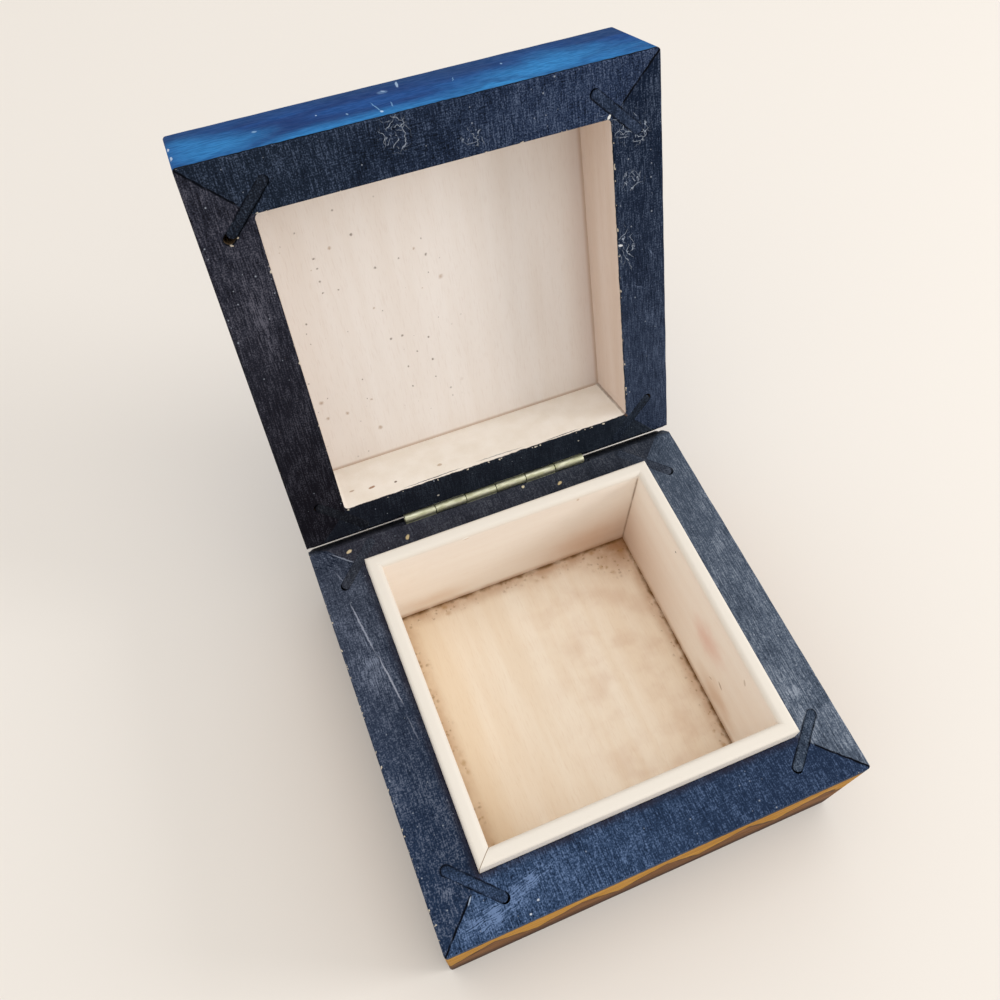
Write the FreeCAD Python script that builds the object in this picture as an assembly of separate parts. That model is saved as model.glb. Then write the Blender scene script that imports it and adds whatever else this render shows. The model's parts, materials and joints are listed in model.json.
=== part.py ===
"""Small square hinged wooden box, lid open, as separate joinery pieces.

Millimetres. Origin at the centre of the underside, +X to the right seen from the front,
+Y towards the hinge at the back, +Z up. The lid is drawn closed and then swung open.
"""

import math
import os

import FreeCAD, Part

from FreeCAD import Vector

# Outside sizes
box_width = 100.0
box_depth = 100.0
base_height = 34.0
lid_height = 22.0

# Base frame: four mitred rails round a rebated floor
base_rail_width = 12.2
floor_thickness = 4.2
floor_rebate = 5.0
panel_fit = 0.1

# Liner: thin boards that stand on the floor inside the rails and locate the lid
liner_thickness = 3.4
liner_proud = 4.8
liner_edge_radius = 1.3
largest_round = 0.45  # of the liner's thickness
lid_clearance = 0.4

# Lid: a mitred frame with a panel let into its top
lid_panel_thickness = 4.8
lid_panel_rebate = 5.0
closing_gap = 0.2

# Keys: round-ended loose tongues across the mitres, in slots in the contact faces
key_from_inside = 1.6
slot_length = 15.6
slot_width = 2.4
slot_depth = 8.0
key_fit = 0.05
key_sink = 0.3
key_short = 0.6
shortest_key_short = 1.4  # the lid's front left key, which leaves an open slot end

# Back edges: chamfered so that the lid can lean back, until the chamfers meet
open_angle = 111.0
stop_play = 2.5
chamfer_lead = 1.2

# Hinge: one narrow brass hinge with its leaves pressed into saw kerfs in the chamfers
hinge_length = 49.6
hinge_setback = 3.2
knuckle_count = 6
knuckle_gap = 0.2
barrel_diameter = 2.4
pin_diameter = 1.2
pin_clearance = 0.05
leaf_thickness = 0.6
leaf_reach = 8.0
kerf_clearance = 0.02
kerf_spare = 0.4
barrel_relief = 0.3
relief_overrun = 1.5

# Oversize of cutting tools, so that no cut ends flush with a face
beyond = 1.0

# Two heights closer than this are the same
touching = 0.001

# Places that follow from the sizes above
half_width = box_width / 2
half_depth = box_depth / 2
lid_bottom = base_height + closing_gap
lid_top = lid_bottom + lid_height
lid_rail_width = base_rail_width - lid_clearance
key_inset = base_rail_width - key_from_inside
liner_top = base_height + liner_proud
hinge_y = half_depth - hinge_setback
hinge_z = base_height + closing_gap / 2
hinge_axis = Vector(0, hinge_y, hinge_z)
barrel_radius = barrel_diameter / 2
relief_radius = barrel_radius + barrel_relief
bore_radius = pin_diameter / 2 + pin_clearance
chamfer_setback = hinge_setback + chamfer_lead
chamfer_drop = hinge_setback * math.tan(math.radians((open_angle + stop_play) / 2)) - closing_gap / 2
leaf_tilt = math.degrees(math.atan2(chamfer_setback, chamfer_drop))

SIDES = ("front", "right", "back", "left")
CORNERS = ("front_left", "front_right", "back_right", "back_left")


def block(low, high):
    """Box between two corners."""
    return Part.makeBox(high[0] - low[0], high[1] - low[1], high[2] - low[2], Vector(*low))


def prism(outline, bottom, top):
    """Upright prism on a plan outline."""
    wire = Part.makePolygon([Vector(x, y, bottom) for x, y in outline + outline[:1]])
    return Part.Face(wire).extrude(Vector(0, 0, top - bottom))


def mitred_plan(side, inset, width):
    """Plan of one mitred board of a frame whose outside lies inset from the box's outside."""
    outer_x, outer_y = half_width - inset, half_depth - inset
    inner_x, inner_y = outer_x - width, outer_y - width
    plans = {
        "front": [(-outer_x, -outer_y), (outer_x, -outer_y), (inner_x, -inner_y), (-inner_x, -inner_y)],
        "right": [(outer_x, -outer_y), (outer_x, outer_y), (inner_x, inner_y), (inner_x, -inner_y)],
        "back": [(outer_x, outer_y), (-outer_x, outer_y), (-inner_x, inner_y), (inner_x, inner_y)],
        "left": [(-outer_x, outer_y), (-outer_x, -outer_y), (-inner_x, -inner_y), (-inner_x, inner_y)],
    }
    return plans[side]


def corner_sign(corner):
    """Signs of X and Y at a corner, the front left one being (-1, -1)."""
    return (1 if "right" in corner else -1), (1 if "back" in corner else -1)


def stadium(corner, length, width, slide, bottom, top):
    """Round-ended upright block across a mitre, moved along itself towards the front or back rail."""
    sign_x, sign_y = corner_sign(corner)
    reach = length / 2 - width / 2
    body = block((-reach, -width / 2, bottom), (reach, width / 2, top))
    for end in (-reach, reach):
        body = body.fuse(Part.makeCylinder(width / 2, top - bottom, Vector(end, 0, bottom)))
    body = body.removeSplitter()
    body.translate(Vector(slide, 0, 0))
    turn = math.degrees(math.atan2(sign_y, -sign_x))
    body.rotate(Vector(0, 0, 0), Vector(0, 0, 1), turn)
    body.translate(Vector(sign_x * (half_width - key_inset), sign_y * (half_depth - key_inset), 0))
    return body


def back_chamfer(face_height, direction):
    """Wedge that chamfers the back edge of the base (direction -1) or of the closed lid (+1)."""
    run = chamfer_setback + beyond
    drop = chamfer_drop * run / chamfer_setback
    over = face_height - direction * beyond
    start = half_depth - chamfer_setback
    points = [
        Vector(-half_width - beyond, start, face_height),
        Vector(-half_width - beyond, start + run, face_height + direction * drop),
        Vector(-half_width - beyond, start + run, over),
        Vector(-half_width - beyond, start, over),
    ]
    face = Part.Face(Part.makePolygon(points + points[:1]))
    return face.extrude(Vector(box_width + 2 * beyond, 0, 0))


def along_hinge(shape, direction):
    """Turns what is drawn along -Y from the hinge line to lie square to a chamfer."""
    shape.rotate(hinge_axis, Vector(1, 0, 0), -direction * leaf_tilt)
    return shape


def hinge_rod(radius, start, length):
    """Cylinder on the hinge line, from start to the right."""
    return Part.makeCylinder(radius, length, Vector(start, hinge_y, hinge_z), Vector(1, 0, 0))


def hinge_cuts(direction):
    """Groove round the barrel and saw kerf for a leaf, in the base (direction -1) or the lid (+1)."""
    groove_length = hinge_length + 2 * relief_overrun
    groove = hinge_rod(relief_radius, -groove_length / 2, groove_length)
    half_kerf = leaf_thickness / 2 + kerf_clearance
    half_length = hinge_length / 2 + kerf_clearance
    kerf = block(
        (-half_length, hinge_y - leaf_reach - kerf_spare, hinge_z - half_kerf),
        (half_length, hinge_y, hinge_z + half_kerf),
    )
    return groove.fuse(along_hinge(kerf, direction))


def frame_rails(width, bottom, top, rebate, contact_face, direction):
    """Four mitred rails with a panel rebate, key slots in the contact face and a chamfered back edge."""
    slot_floor = contact_face + direction * slot_depth
    slot_mouth = contact_face - direction * beyond
    cuts = [rebate, back_chamfer(contact_face, direction)]
    for corner in CORNERS:
        levels = sorted((slot_floor, slot_mouth))
        cuts.append(stadium(corner, slot_length, slot_width, 0, *levels))
    rails = {}
    for side in SIDES:
        rail = prism(mitred_plan(side, 0, width), bottom, top)
        for cut in cuts:
            rail = rail.cut(cut)
        if side == "back":
            rail = rail.cut(hinge_cuts(direction))
        rails[side] = rail
    return rails


def frame_keys(contact_face, direction, pushed, short):
    """Keys shorter than their slots, pushed towards the front or back rail (+1) or the side rail (-1)."""
    keys = {}
    for corner in CORNERS:
        levels = sorted((contact_face + direction * key_sink, contact_face + direction * slot_depth))
        length = slot_length - short[corner]
        slide = pushed[corner] * (short[corner] / 2 - key_fit)
        key = stadium(corner, length, slot_width - 2 * key_fit, slide, *levels)
        keys[corner] = key.cut(back_chamfer(contact_face, direction))
    return keys


def panel_block(inside_inset, rebate, bottom, top, fit):
    """Panel that reaches into a rebate all round, or its rebate where fit is zero."""
    reach_x = half_width - inside_inset + rebate - fit
    reach_y = half_depth - inside_inset + rebate - fit
    return block((-reach_x, -reach_y, bottom), (reach_x, reach_y, top))


def liner_board(side):
    """One mitred liner board with both long top edges rounded."""
    board = prism(mitred_plan(side, base_rail_width, liner_thickness), floor_thickness, liner_top)
    top_edges = [edge for edge in board.Edges if edge.BoundBox.ZMin > liner_top - touching]
    long_edges = [edge for edge in top_edges if min(edge.BoundBox.XLength, edge.BoundBox.YLength) < touching]
    radius = min(liner_edge_radius, largest_round * liner_thickness)
    return board.makeFillet(radius, long_edges)


def hinge_leaf(knuckles, direction):
    """Leaf plate with its own knuckles, square to the chamfer of the base (-1) or of the lid (+1)."""
    pitch = hinge_length / knuckle_count
    half_leaf = leaf_thickness / 2
    plate = block(
        (-hinge_length / 2, hinge_y - leaf_reach, hinge_z - half_leaf),
        (hinge_length / 2, hinge_y - relief_radius, hinge_z + half_leaf),
    )
    bore = hinge_rod(bore_radius, -hinge_length / 2 - beyond, hinge_length + 2 * beyond)
    for number in knuckles:
        start = -hinge_length / 2 + number * pitch + knuckle_gap / 2
        length = pitch - knuckle_gap
        tube = hinge_rod(barrel_radius, start, length)
        neck = block(
            (start, hinge_y - relief_radius, hinge_z - half_leaf),
            (start + length, hinge_y, hinge_z + half_leaf),
        )
        plate = plate.fuse(tube.fuse(neck))
    return along_hinge(plate.cut(bore).removeSplitter(), direction)


def base_pieces():
    """Rails, keys, floor and liner of the base."""
    rebate = panel_block(base_rail_width, floor_rebate, -beyond, floor_thickness, 0)
    rails = frame_rails(base_rail_width, 0, base_height, rebate, base_height, -1)
    pushed = {"front_left": -1, "front_right": -1, "back_right": 1, "back_left": 1}
    keys = frame_keys(base_height, -1, pushed, dict.fromkeys(CORNERS, key_short))
    pieces = {f"base_{side}_rail": rail for side, rail in rails.items()}
    pieces.update({f"base_key_{corner}": key for corner, key in keys.items()})
    pieces["floor_panel"] = panel_block(base_rail_width, floor_rebate, 0, floor_thickness, panel_fit)
    pieces.update({f"liner_{side}": liner_board(side) for side in SIDES})
    return pieces


def lid_pieces():
    """Rails, keys and panel of the closed lid."""
    panel_bottom = lid_top - lid_panel_thickness
    rebate = panel_block(lid_rail_width, lid_panel_rebate, panel_bottom, lid_top + beyond, 0)
    rails = frame_rails(lid_rail_width, lid_bottom, lid_top, rebate, lid_bottom, 1)
    pushed = {"front_left": 1, "front_right": -1, "back_right": 1, "back_left": 1}
    short = {**dict.fromkeys(CORNERS, key_short), "front_left": shortest_key_short}
    keys = frame_keys(lid_bottom, 1, pushed, short)
    pieces = {f"lid_{side}_rail": rail for side, rail in rails.items()}
    pieces.update({f"lid_key_{corner}": key for corner, key in keys.items()})
    pieces["lid_panel"] = panel_block(lid_rail_width, lid_panel_rebate, panel_bottom, lid_top, panel_fit)
    return pieces


def hinge_pin():
    """Plain brass pin, flush with the ends of the barrel."""
    return hinge_rod(pin_diameter / 2, -hinge_length / 2, hinge_length)


def swing_open(shape):
    """Turns a piece of the closed lid back about the hinge line to where it leans open."""
    shape.rotate(hinge_axis, Vector(1, 0, 0), -open_angle)
    return shape


def all_pieces():
    """Every piece by name, with the lid open."""
    pieces = base_pieces()
    pieces["hinge_base_leaf"] = hinge_leaf(range(0, knuckle_count, 2), -1)
    pieces["hinge_pin"] = hinge_pin()
    swinging = lid_pieces()
    swinging["hinge_lid_leaf"] = hinge_leaf(range(1, knuckle_count, 2), 1)
    pieces.update({name: swing_open(shape) for name, shape in swinging.items()})
    return pieces


os.makedirs("parts", exist_ok=True)
for name, shape in all_pieces().items():
    if shape.ShapeType == "Compound" and len(shape.Solids) == 1:
        shape = shape.Solids[0]
    print(f"{name}: {len(shape.Solids)} solid, {shape.Volume:.1f} mm3, valid {shape.isValid()}")
    shape.exportStep(f"parts/{name}.step")
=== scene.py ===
"""Looks of a small hinged keepsake box: brushed paint over linden, bare linden inside, a brass hinge.

Metres, in the frame of the solids: origin under the middle of the base, +Y towards the hinge, +Z up.
Sanding, paint and wear are laid out with the lid shut, and materials work in millimetres.
"""

import json
import math
from functools import partial
from types import SimpleNamespace

import bmesh
import bpy
from mathutils import Matrix, Quaternion, Vector, noise


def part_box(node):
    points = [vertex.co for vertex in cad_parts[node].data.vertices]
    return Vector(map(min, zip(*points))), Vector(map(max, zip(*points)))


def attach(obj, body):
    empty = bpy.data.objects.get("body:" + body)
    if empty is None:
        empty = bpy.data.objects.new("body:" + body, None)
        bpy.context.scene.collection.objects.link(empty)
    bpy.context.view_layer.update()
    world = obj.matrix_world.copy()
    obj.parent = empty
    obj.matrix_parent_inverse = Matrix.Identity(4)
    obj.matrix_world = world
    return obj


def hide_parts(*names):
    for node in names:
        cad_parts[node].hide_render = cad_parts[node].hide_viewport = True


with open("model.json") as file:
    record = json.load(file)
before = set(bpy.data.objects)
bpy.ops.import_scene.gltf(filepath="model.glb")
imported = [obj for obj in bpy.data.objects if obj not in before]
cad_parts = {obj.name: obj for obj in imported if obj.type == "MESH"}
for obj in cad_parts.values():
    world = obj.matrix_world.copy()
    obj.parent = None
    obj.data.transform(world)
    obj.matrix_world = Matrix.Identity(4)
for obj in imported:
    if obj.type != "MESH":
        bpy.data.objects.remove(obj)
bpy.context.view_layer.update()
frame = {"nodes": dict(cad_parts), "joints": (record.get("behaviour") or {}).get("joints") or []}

MM = 0.001
SIDES = ("front", "right", "back", "left")
CORNERS = ("front_left", "front_right", "back_right", "back_left")
touching = 0.002 * MM

# Camera, as the photograph was taken
camera_place = Vector((-46.9, -66.3, 241.2)) * MM
camera_target = Vector((2.0, 48.6, 34.0)) * MM
camera_roll = 0.018
camera_lens = 33.57
axis_above_middle = 0.02

# Sanding of the frames after they were glued up
arris_round = 0.5 * MM
arris_spread = 0.45
front_corner_round = 0.7 * MM
back_corner_round = 1.7 * MM
inner_round = 0.3 * MM
opening_fillet = 1.1 * MM
wear_length = 7.0 * MM
wear_step = 1.0 * MM
arris_cuts = (0.42, 0.73, 1.0, 1.8)
corner_cuts = (0.2, 0.45, 0.7, 1.0)
mitre_groove = 0.13 * MM
filled_mitre_share = 0.25
mitre_seen = 9.3 * MM
smooth_below = math.radians(35)

# Small pieces
piece_round = 0.1 * MM
liner_outer_round = 0.8 * MM
liner_inner_round = 1.2 * MM
liner_arc_steps = 6
liner_rings = 48
liner_unevenness = 0.06 * MM
liner_wave = 15 * MM

# How each key lies in its slot: slide towards the outer corner, lift towards the contact face, and paint
# on each cheek, which narrows the gap
key_lies = {
    "base_key_front_left": (-0.04 * MM, 0.15 * MM, 0.04 * MM),
    "base_key_front_right": (0.0, 0.1 * MM, 0.02 * MM),
    "base_key_back_right": (0.04 * MM, 0.2 * MM, 0.06 * MM),
    "base_key_back_left": (0.0, 0.2 * MM, 0.06 * MM),
    "lid_key_front_left": (0.04 * MM, 0.1 * MM, 0.0),
    "lid_key_front_right": (0.0, 0.2 * MM, 0.09 * MM),
    "lid_key_back_right": (0.0, 0.25 * MM, 0.09 * MM),
    "lid_key_back_left": (0.0, 0.25 * MM, 0.09 * MM),
}

# Hinge
knuckle_count = 6
knuckle_gap = 0.2 * MM
knuckle_round = 0.12 * MM
knuckle_facets = 48
pin_play = 0.05 * MM
plate_from_barrel = 1.25
tip_share = 0.97

# Relief and shine of the finishes
paint_relief = 0.012 * MM
wood_relief = 0.01 * MM
brass_relief = 0.004 * MM
paint_shine = 0.03
key_shine = 0.05
wood_shine = 0.1
brass_shine = 0.5

# Studio
studio_size = 3.0
studio_drop = 0.05 * MM
studio_roughness = 0.9
studio_shine = 0.1
sky_strength = 0.97

# Zigzag edge of the base's foot band, in millimetres
zigzag_pitch = 10.15
zigzag_rise = 11.5
zigzag_foot = 9.5
zigzag_phase = -2.05
zigzag_shake = 5.0

# Slots of the keys, in millimetres
slot_length = 15.6
slot_width = 2.4
key_inset = 10.6

# Layers of the rubbed navy, size in millimetres, seed and detail: fibres, threads across, grit and clouds
navy_layers = (
    ((0.26, 3.0, 3.0), 2.9, 1.0),
    ((2.0, 0.3, 2.0), 4.7, 1.0),
    ((0.3, 0.34, 0.3), 6.1, 1.0),
    ((6.0, 9.0, 6.0), 1.3, 3.0),
)

# How far navy laps down the sides and how ragged it ends, in millimetres
base_lap = (3.2, 2.2)
lid_lap = (0.6, 0.6)

# How worn the arrises of the lid's opening are; lower is more
opening_worn = 0.57

# Azure patches on the lid's sides: centre along the side and up, size and strength
blue_glows = (
    ((27.0, 42.5), (54.0, 20.0), 0.9),
    ((16.0, 37.0), (44.0, 8.0), 1.0),
    ((-42.0, 43.0), (36.0, 22.0), 0.8),
    ((-20.0, 36.0), (40.0, 6.0), 0.6),
)

# Shades of bare linden: pale wood, band and fleck
lid_linden = ("#e9e2dc", "#e4dbd3", "#cab7a9")
# The lips of the lid's back and right rails are lit and shaded copies of the same linden: painted light on
# the back lip, painted shade on the right lip
lit_lip_linden = ("#efe9e0", "#e8e0d4", "#cfbda7")
shaded_lip_linden = ("#e4d5ca", "#dcc9ba", "#bfa28c")
liner_linden = ("#f7efe5", "#f4eadf", "#e2d0bb")
floor_linden = ("#f5ead9", "#eedec8", "#d4b797")
under_linden = ("#dccbb4", "#cfbb9f", "#a88e6c")

# Soil under the base, and dirt in the joints
under_soil = "#8d7657"
joint_dirt = "#080b12"

# Navy of the keys: weights of its layers, then the darkest, full and rubbed shade of each, which follow
# the rails round the key, painted light and shade included
key_weave = (0.5, 0.2, 0.8, 0.3)
key_shades = {
    "base_key_front_left": ("#0e1828", "#273750", "#5c7092"),
    "base_key_front_right": ("#121a28", "#333f50", "#6b7788"),
    "base_key_back_right": ("#171c26", "#343a46", "#5b6370"),
    "base_key_back_left": ("#161a22", "#31353f", "#585e6a"),
    "lid_key_front_left": ("#090d14", "#171d28", "#414b5b"),
    "lid_key_front_right": ("#0a111d", "#212d42", "#505d75"),
    "lid_key_back_right": ("#0b0f17", "#1c232e", "#3f4857"),
    "lid_key_back_left": ("#0a0c12", "#15171d", "#383c44"),
}

# Soft patches on the liner's back wall, X, and right wall, Y: shade, centre, size and strength. They are
# stains, except the second on the back wall, which is painted shade towards the back right corner
liner_clouds = {
    "X": (("#d9b48f", (-22.0, 9.0), (30.0, 12.0), 0.35), ("#c79a76", (22.0, 10.0), (34.0, 22.0), 0.4)),
    "Y": (("#dba593", (-8.0, 24.0), (20.0, 15.0), 0.5), ("#c9a17c", (-18.0, 10.0), (26.0, 14.0), 0.5)),
}

# Small marks there: face, shade, centre, size, turn and strength
liner_marks = {
    # The first two on the back wall are a painted highlight and a painted shadow, drawing a small dent
    "X": (("wall", "#fdfaf4", (-13.0, 37.4), (2.6, 0.8), 8.0, 0.9),
          ("wall", "#c3a78b", (-12.8, 36.8), (2.6, 0.4), 8.0, 0.6),
          ("wall", "#cbb196", (17.5, 36.6), (1.2, 1.6), 0.0, 0.6)),
    "Y": (("wall", "#3a3028", (12.8, 34.5), (0.8, 0.7), 0.0, 0.9),
          ("wall", "#9c7a58", (-17.5, 16.5), (3.4, 1.2), 30.0, 0.6),
          ("wall", "#a98c6c", (-14.0, 13.0), (2.0, 0.8), -30.0, 0.5),
          ("wall", "#b5a28b", (-22.4, 32.0), (3.0, 1.2), 60.0, 0.5)),
}

# Lie of the lid
hinge = frame["joints"][0]
hinge_line = Vector(hinge["pos_m"])
open_angle = math.radians(hinge["range_deg"][1])
turn_shut = Matrix.Rotation(open_angle, 4, "X")
shut_lid = Matrix.Translation(hinge_line) @ turn_shut @ Matrix.Translation(-hinge_line)
as_drawn = Matrix()


def shut_points(names, shut):
    """Corners of some solids once the lid is shut."""
    return [shut @ vertex.co for name in names for vertex in frame["nodes"][name].data.vertices]


def extent(points):
    """Lowest and highest corner round some points."""
    return Vector(map(min, zip(*points))), Vector(map(max, zip(*points)))


def measure_frame(body, shut, into, fillet):
    """Sizes of one mitred frame with the lid shut; into is the way from its contact face into the wood."""
    rails = [f"{body}_{side}_rail" for side in SIDES]
    low, high = extent(shut_points(rails, shut))
    inside = -extent(shut_points(rails[:1], shut))[1].y
    contact, far = (high.z, low.z) if into < 0 else (low.z, high.z)
    back = shut_points([f"{body}_back_rail"], shut)
    chamfer_start = max(point.y for point in back if abs(point.z - contact) < touching)
    chamfer_drop = min(abs(point.z - contact) for point in back if abs(point.y - high.y) < touching)
    return SimpleNamespace(
        body=body, shut=shut, into=into, rails=rails, high=high, half=high.x, inside=inside,
        width=high.x - inside, fillet=fillet, contact=contact, far=far, chamfer_start=chamfer_start,
        chamfer_drop=chamfer_drop,
    )


base = measure_frame("base", as_drawn, -1, 0.0)
lid = measure_frame("lid", shut_lid, 1, opening_fillet)


def linear(code):
    """Linear colour of an sRGB hex code."""
    shares = [int(code[start:start + 2], 16) / 255 for start in (1, 3, 5)]
    bent = [share / 12.92 if share <= 0.04045 else ((share + 0.055) / 1.055) ** 2.4 for share in shares]
    return (*bent, 1.0)


# Kinds of node that most finishes need, with their settings: a step from 0 at one value to 1 at another,
# and a blend of two colours
usual_nodes = {
    "soft_step": ("ShaderNodeMapRange", {"interpolation_type": "SMOOTHSTEP"}),
    "blend": ("ShaderNodeMix", {"data_type": "RGBA"}),
}


def node(tree, kind, *ordered, output=None, named=None, **settings):
    """Adds a node, sets or links its inputs in order or by name, and returns one of its outputs.

    A kind is one of Blender's, one of the usual nodes, or in capitals an operation of a Math node.
    """
    if kind.isupper():
        kind, settings["operation"] = "ShaderNodeMath", kind
    kind, usual = usual_nodes.get(kind, (kind, {}))
    made = tree.nodes.new(kind)
    for name, value in {**usual, **settings}.items():
        setattr(made, name, value)
    usable = [socket for socket in made.inputs if socket.enabled]
    given = list(zip(usable, ordered))
    for name, value in (named or {}).items():
        given.append((next(socket for socket in usable if socket.name == name), value))
    for socket, value in given:
        if isinstance(value, bpy.types.NodeSocket):
            tree.links.new(value, socket)
        else:
            socket.default_value = value
    if output is not None:
        return made.outputs[output]
    return next((socket for socket in made.outputs if socket.enabled), None)


# Patterns that the finishes share


def shut_place(tree, shut):
    """Place on the piece in millimetres with the lid shut."""
    drawn = node(tree, "ShaderNodeTexCoord", output="Object")
    moved, turned = shut.to_translation() / MM, shut.to_euler()
    return node(tree, "ShaderNodeMapping", drawn, moved, turned, [1 / MM] * 3)


def field(tree, place, size, seed=0.0, detail=1.0):
    """Smooth random field around 0.5 whose lumps measure size millimetres along X, Y and Z."""
    scaled = node(tree, "ShaderNodeMapping", place, [seed] * 3, (0, 0, 0), [1 / length for length in size])
    return node(tree, "ShaderNodeTexNoise", scaled, 1.0, detail)


def in_oval(tree, place, centre, size, turn):
    """Place in the frame of an oval in the XY plane, with its rim at distance 1."""
    return node(tree, "ShaderNodeMapping", place, (*centre, 0.0), (0.0, 0.0, math.radians(turn)),
                (size[0] / 2, size[1] / 2, 1e6), vector_type="TEXTURE")


def patch(tree, place, centre, size, turn=0.0):
    """Soft oval in the XY plane, 1 in its middle."""
    laid = in_oval(tree, place, centre, size, turn)
    away = node(tree, "ShaderNodeVectorMath", laid, output="Value", operation="LENGTH")
    return node(tree, "soft_step", away, 1.0, 0.0)


def scuff(tree, place, centre, size, turn):
    """Soft oval rubbed in strokes along its length."""
    laid = in_oval(tree, place, centre, size, turn)
    strokes = field(tree, laid, (5.0 / size[0], 0.5 / size[1], 1.0), 3.1, 2.0)
    whole = patch(tree, place, centre, size, turn)
    return node(tree, "MULTIPLY", whole, node(tree, "soft_step", strokes, 0.38, 0.72))


def specks(tree, place, spacing, radius, share, seed):
    """Soft round specks on a level face, one in a share of the cells of a loose grid."""
    add = partial(node, tree)
    laid = add("ShaderNodeMapping", place, [seed] * 3, (0, 0, 0), [1 / spacing] * 3)
    away = add("ShaderNodeTexVoronoi", named={"Vector": laid, "Scale": 1.0}, voronoi_dimensions="2D")
    chance = add("ShaderNodeSeparateColor", away.node.outputs["Color"])
    size = add("MULTIPLY", chance.node.outputs["Green"], radius / spacing)
    shown = add("LESS_THAN", chance, share)
    return add("MULTIPLY", add("soft_step", away, size, 0.0), shown)


def shaken(tree, place, size, reach):
    """Place shaken by up to reach millimetres, for edges drawn by hand."""
    scaled = node(tree, "ShaderNodeVectorMath", place, 1 / size, operation="SCALE")
    shake = node(tree, "ShaderNodeTexNoise", scaled, 1.0, 2.0, output="Color")
    middle = node(tree, "ShaderNodeVectorMath", shake, (0.5, 0.5, 0.5), operation="SUBTRACT")
    moved = node(tree, "ShaderNodeVectorMath", middle, 2 * reach, operation="SCALE")
    return node(tree, "ShaderNodeVectorMath", place, moved, operation="ADD")


def survey(tree, place, shell):
    """Distances in millimetres from the faces, arrises and key slots of one frame."""
    add = partial(node, tree)
    x = add("ShaderNodeSeparateXYZ", place)
    y, z = x.node.outputs["Y"], x.node.outputs["Z"]
    plus_x = add("ABSOLUTE", x)
    plus_y = add("ABSOLUTE", y)
    reach = add("MAXIMUM", plus_x, plus_y)
    lesser = add("MINIMUM", plus_x, plus_y)
    outside = add("SUBTRACT", shell.half / MM, reach)
    beside = add("SUBTRACT", shell.half / MM, lesser)
    mitre = add("SUBTRACT", reach, lesser)
    deep = add("MULTIPLY_ADD", z, shell.into, -shell.contact * shell.into / MM)
    far = add("MULTIPLY_ADD", z, -shell.into, shell.far * shell.into / MM)
    slope = shell.chamfer_drop / (shell.high.y - shell.chamfer_start)
    past = add("ADD", y, -shell.chamfer_start / MM)
    past = add("MAXIMUM", past, 0.0)
    under_chamfer = add("MULTIPLY_ADD", past, -slope, deep)
    along = add("ADD", x, y)
    straight = (slot_length - slot_width) / 2
    over = add("MULTIPLY_ADD", mitre, math.sqrt(0.5), -straight)
    over = add("MAXIMUM", over, 0.0)
    diagonal = add("ADD", outside, beside)
    to_corner = key_inset * math.sqrt(2)
    across = add("MULTIPLY_ADD", diagonal, -math.sqrt(0.5), to_corner)
    from_key = add("ShaderNodeVectorMath", add("ShaderNodeCombineXYZ", over, across), output="Value",
                   operation="LENGTH")
    slot = add("ADD", from_key, -slot_width / 2)
    return SimpleNamespace(x=x, y=y, z=z, outside=outside, beside=beside, mitre=mitre, deep=deep, far=far,
                           under_chamfer=under_chamfer, along=along, slot=slot)


def new_finish(name):
    """Empty material: itself, its node tree and its shader."""
    material = bpy.data.materials.new(name)
    material.use_nodes = True
    tree = material.node_tree
    tree.nodes.clear()
    shader = tree.nodes.new("ShaderNodeBsdfPrincipled")
    node(tree, "ShaderNodeOutputMaterial", shader.outputs["BSDF"])
    return material, tree, shader


def coat(tree, under, over, cover):
    """Lays one look, a colour, a roughness and a height, over another where cover is 1."""
    kinds = {"colour": "RGBA", "roughness": "FLOAT", "height": "FLOAT"}
    mixed = {}
    for part, kind in kinds.items():
        below, above = getattr(under, part), getattr(over, part)
        mixed[part] = node(tree, "ShaderNodeMix", cover, below, above, data_type=kind)
    return SimpleNamespace(**mixed)


def plain(shade, roughness=0.75, height=0.5):
    """Look of a small mark in one shade."""
    return SimpleNamespace(colour=linear(shade), roughness=roughness, height=height)


def marked(tree, look, faces, marks):
    """Lays marks on a look: each has a face, a shade, a centre, a size, a turn and a strength."""
    add = partial(node, tree)
    for face, shade, centre, size, turn, strength in marks:
        laid, on_face = faces[face]
        mark = add("soft_step", patch(tree, laid, centre, size, turn), 0.05, 0.5)
        mark = add("MULTIPLY", add("MULTIPLY", mark, strength), on_face)
        look = coat(tree, look, plain(shade, 0.85), mark)
    return look


def finish_shader(tree, shader, look, relief, shine):
    """Gives a look to a shader, with its height as a relief of so many metres."""
    tree.links.new(look.colour, shader.inputs["Base Color"])
    tree.links.new(look.roughness, shader.inputs["Roughness"])
    bump = node(tree, "ShaderNodeBump", named={"Height": look.height, "Strength": 1.0, "Distance": relief})
    tree.links.new(bump, shader.inputs["Normal"])
    shader.inputs["Specular IOR Level"].default_value = shine


# Looks: what each real surface gives the eye


def bare_linden(tree, place, grain, shades):
    """Sanded linden, unfinished: pale cream, hardly any figure, short darker flecks along the grain."""
    add = partial(node, tree)
    pale, band, fleck = (linear(shade) for shade in shades)
    bands = field(tree, place, [60.0 if axis == grain else 5.0 for axis in "XYZ"], 5.7, 3.0)
    bands = add("soft_step", bands, 0.25, 0.75)
    flecks = field(tree, place, [2.8 if axis == grain else 0.3 for axis in "XYZ"], 9.3)
    flecks = add("soft_step", flecks, 0.5, 0.8)
    colour = add("blend", bands, pale, band)
    colour = add("blend", add("MULTIPLY", flecks, 0.16), colour, fleck)
    height = add("SUBTRACT", 1.0, flecks)
    roughness = add("ShaderNodeMapRange", bands, 0.0, 1.0, 0.62, 0.74)
    return SimpleNamespace(colour=colour, roughness=roughness, height=height)


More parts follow.
